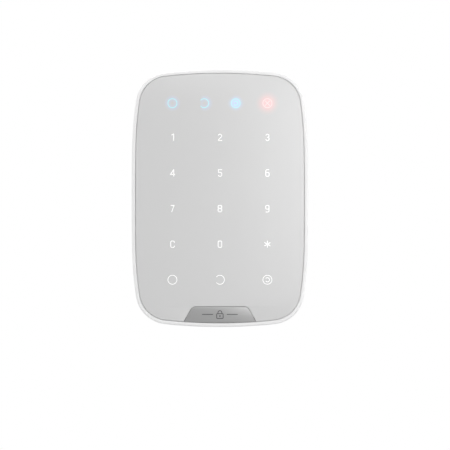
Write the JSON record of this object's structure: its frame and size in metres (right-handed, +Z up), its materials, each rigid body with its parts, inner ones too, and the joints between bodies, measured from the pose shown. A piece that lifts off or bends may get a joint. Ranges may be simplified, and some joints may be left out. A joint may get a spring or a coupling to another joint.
{
  "type": "alarm keypad panel",
  "caption": "Thin wall-mounted alarm keypad: grey touch panel with printed keys and lit status symbols in a white housing that slides onto a screwed wall bracket.",
  "frame": {"origin": "middle of the four wall-screw holes, on the wall plane", "axes": "+Z up the wall, +X to the right as seen by a person in front of the keypad, +Y into the wall, so the keys face -Y"},
  "size_m": [0.103, 0.014, 0.15],
  "materials": {
    "white_moulding": "fine satin",
    "grey_panel": "smooth satin",
    "black_tape": "matte",
    "silver_badge": "satin metallic",
    "dark_print": "smooth",
    "white_print": "smooth translucent",
    "cyan_light": "lit from behind",
    "blue_light": "lit from behind",
    "pink_light": "lit from behind",
    "white_inner_plastic": "matte",
    "circuit_board": "satin solder mask",
    "gold_plating": "satin",
    "led_package": "smooth",
    "chip_plastic": "matte",
    "tinned_steel": "satin",
    "black_plastic": "fine matte",
    "cell_jacket": "glossy film",
    "screw_steel": "plated",
    "black_screw_steel": "black zinc",
    "blank_label": "matte film"
  },
  "bodies": {
    "bracket": {"mounting_bracket": "white_moulding"},
    "keypad": {"front_housing": "white_moulding", "rear_cover": "white_moulding", "front_panel": "grey_panel", "panel_adhesive": "black_tape", "badge_plate": "silver_badge", "badge_emblem": "dark_print", "key_legends": "white_print", "indicator_disarmed": "cyan_light", "indicator_night": "cyan_light", "indicator_armed": "blue_light", "indicator_fault": "pink_light", "light_mask": "white_inner_plastic", "main_board": "circuit_board", "touch_pads": "gold_plating", "key_leds": "led_package", "indicator_leds": "led_package", "touch_controller": "chip_plastic", "main_processor": "chip_plastic", "radio_shield": "tinned_steel", "antenna": "gold_plating", "buzzer": "black_plastic", "capacitors": "chip_plastic", "tamper_switch": "black_plastic", "power_switch_base": "black_plastic", "power_switch_frame": "tinned_steel", "battery_tray": "white_inner_plastic", "battery_1": "cell_jacket", "battery_2": "cell_jacket", "battery_3": "cell_jacket", "battery_4": "cell_jacket", "battery_contact_positive": "tinned_steel", "battery_contact_negative": "tinned_steel", "battery_link_contact": "tinned_steel", "battery_springs": "tinned_steel", "tray_screws": "screw_steel", "case_screws": "black_screw_steel", "id_label": "blank_label"},
    "switch_knob": {"power_switch_knob": "black_plastic"},
    "tamper_plunger": {"tamper_plunger": "white_inner_plastic"}
  },
  "joints": [
    {"name": "keypad_lift", "type": "slide", "parent": "bracket", "child": "keypad", "axis": [0, 0, 1], "range_m": [0, 0.004]},
    {"name": "power_switch_slide", "type": "slide", "parent": "keypad", "child": "switch_knob", "axis": [-1, 0, 0], "range_m": [0, 0.003]},
    {"name": "tamper_press", "type": "slide", "parent": "keypad", "child": "tamper_plunger", "axis": [0, -1, 0], "range_m": [0, 0.0006], "stiffness_N_per_m": 150, "springref_m": -0.0015}
  ]
}
